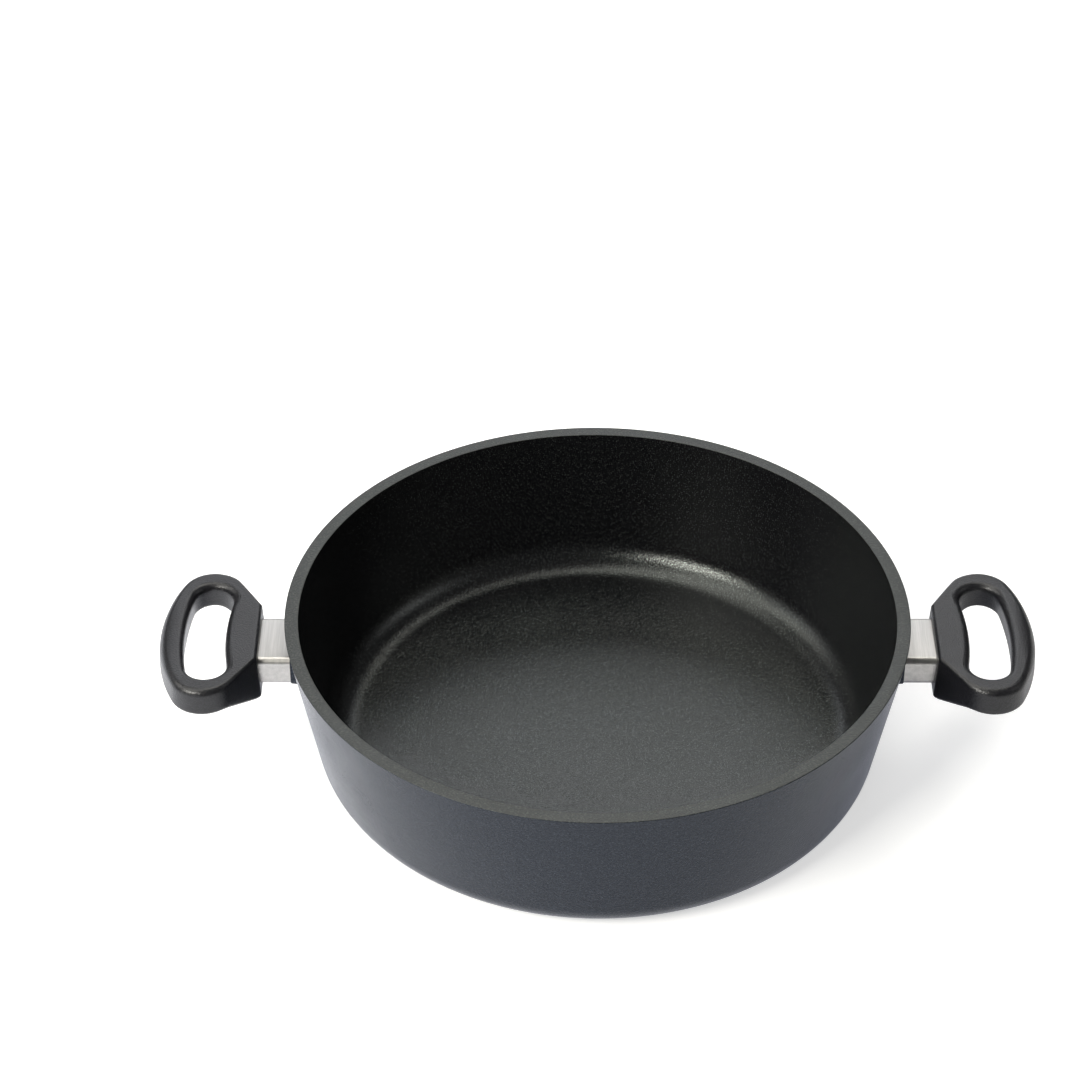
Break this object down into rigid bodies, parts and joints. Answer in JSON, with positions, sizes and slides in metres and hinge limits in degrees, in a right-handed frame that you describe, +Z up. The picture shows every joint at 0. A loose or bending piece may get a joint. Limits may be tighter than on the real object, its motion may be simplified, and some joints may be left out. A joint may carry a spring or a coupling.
{
  "type": "braiser",
  "caption": "Wide low round cooking pan of thick cast metal with a dark non-stick finish, loop handles on steel sleeves at both sides and a slotted induction base.",
  "frame": {"origin": "centre of the base, on the plane that the pan stands on", "axes": "+X towards one handle, -X towards the other, +Z up through the open top"},
  "size_m": [0.4126, 0.2928, 0.08],
  "materials": {
    "coated_casting": "dark speckled non-stick coating, bare bright metal on the base ring and button",
    "spun_steel": "turned, with fine circular lines",
    "brushed_steel_sheet": "fine brushed",
    "moulded_plastic": "satin",
    "bright_fastener": "bright plated"
  },
  "bodies": {
    "root": {"pan_body": "coated_casting", "induction_plate": "spun_steel", "handle_sleeve_right": "brushed_steel_sheet", "handle_sleeve_left": "brushed_steel_sheet", "handle_grip_right": "moulded_plastic", "handle_grip_left": "moulded_plastic", "handle_screw_right": "bright_fastener", "handle_screw_left": "bright_fastener", "washer_right": "bright_fastener", "washer_left": "bright_fastener", "spring_washer_right": "bright_fastener", "spring_washer_left": "bright_fastener"}
  },
  "joints": []
}
